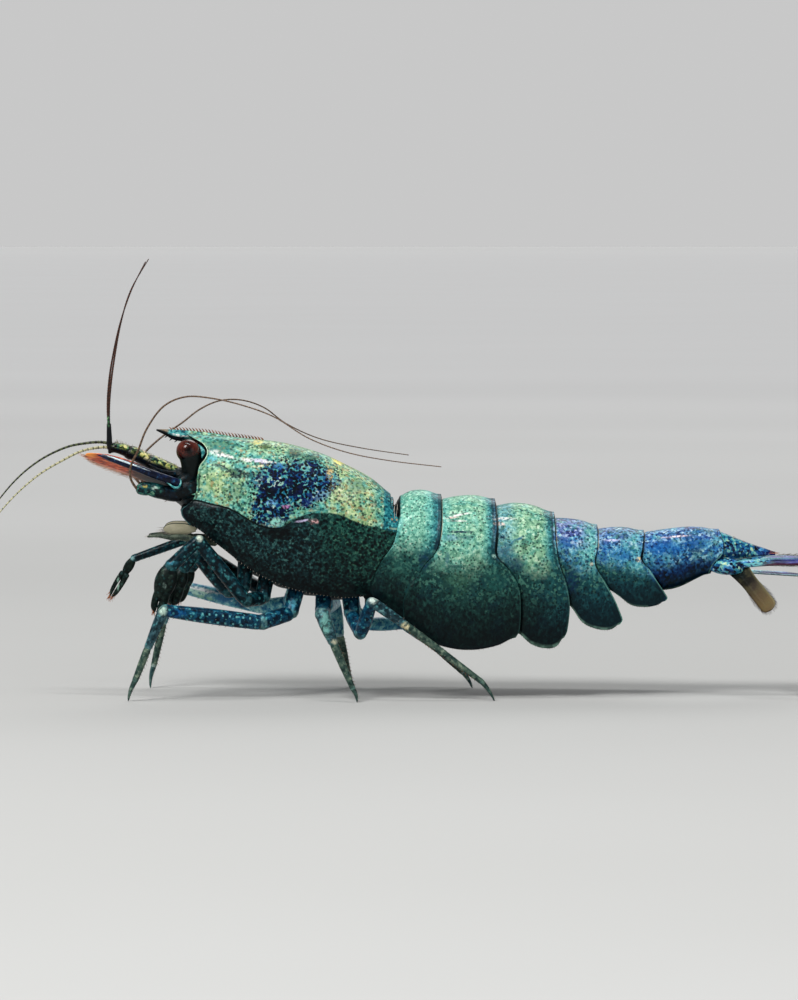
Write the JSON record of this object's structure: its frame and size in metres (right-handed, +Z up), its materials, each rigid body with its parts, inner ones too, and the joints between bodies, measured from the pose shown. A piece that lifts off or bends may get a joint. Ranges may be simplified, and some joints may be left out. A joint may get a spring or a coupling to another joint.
{
  "type": "freshwater dwarf shrimp",
  "caption": "Life-size blue dwarf shrimp standing on its walking legs, with toothed rostrum, claws, feelers and tail fan.",
  "frame": {"origin": "on the floor at the middle of the animal's bounding box, feelers included", "axes": "-X towards the head, -Y towards the animal's left side, +Z up from the floor it stands on"},
  "size_m": [0.0388, 0.0142, 0.0196],
  "materials": {
    "carapace": "wet shell, speckled",
    "pleon_front": "wet shell, speckled",
    "pleon_rear": "wet shell, speckled",
    "tail_fan": "translucent wet shell",
    "leg": "translucent wet shell",
    "claw": "translucent wet shell",
    "swimmeret": "thin translucent shell",
    "feeler_base": "translucent wet shell",
    "short_whip": "thin translucent shell",
    "long_whip": "thin translucent shell",
    "scale": "thin translucent shell",
    "eye": "wet gloss",
    "eyestalk": "translucent wet shell",
    "face": "translucent wet shell",
    "keel": "thin translucent shell",
    "mouthpart": "thin translucent shell",
    "mouth_flap": "thin translucent shell"
  },
  "bodies": {
    "root": {"antenna_base_left": "feeler_base", "antenna_base_right": "feeler_base", "antenna_scale_left": "scale", "antenna_scale_right": "scale", "antenna_whip_left": "long_whip", "antenna_whip_right": "long_whip", "antennule_left": "feeler_base", "antennule_right": "feeler_base", "antennule_whips_left": "short_whip", "antennule_whips_right": "short_whip", "carapace": "carapace", "claw_1_left": "claw", "claw_1_right": "claw", "claw_2_left": "claw", "claw_2_right": "claw", "eye_left": "eye", "eye_right": "eye", "eyestalk_left": "eyestalk", "eyestalk_right": "eyestalk", "head": "face", "leg_3_left": "leg", "leg_3_right": "leg", "leg_4_left": "leg", "leg_4_right": "leg", "leg_5_left": "leg", "leg_5_right": "leg", "maxilliped_left": "mouthpart", "maxilliped_right": "mouthpart", "mouth_flap_left": "mouth_flap", "mouth_flap_right": "mouth_flap", "pleon_1": "pleon_front", "pleon_2": "pleon_front", "pleon_3": "pleon_front", "pleon_4": "pleon_rear", "pleon_5": "pleon_rear", "pleon_6": "pleon_rear", "pleopod_1_left": "swimmeret", "pleopod_1_right": "swimmeret", "pleopod_2_left": "swimmeret", "pleopod_2_right": "swimmeret", "pleopod_3_left": "swimmeret", "pleopod_3_right": "swimmeret", "pleopod_4_left": "swimmeret", "pleopod_4_right": "swimmeret", "pleopod_5_left": "swimmeret", "pleopod_5_right": "swimmeret", "telson": "tail_fan", "thorax": "keel", "uropod_base_left": "tail_fan", "uropod_base_right": "tail_fan", "uropod_inner_left": "tail_fan", "uropod_inner_right": "tail_fan", "uropod_outer_left": "tail_fan", "uropod_outer_right": "tail_fan"}
  },
  "joints": []
}
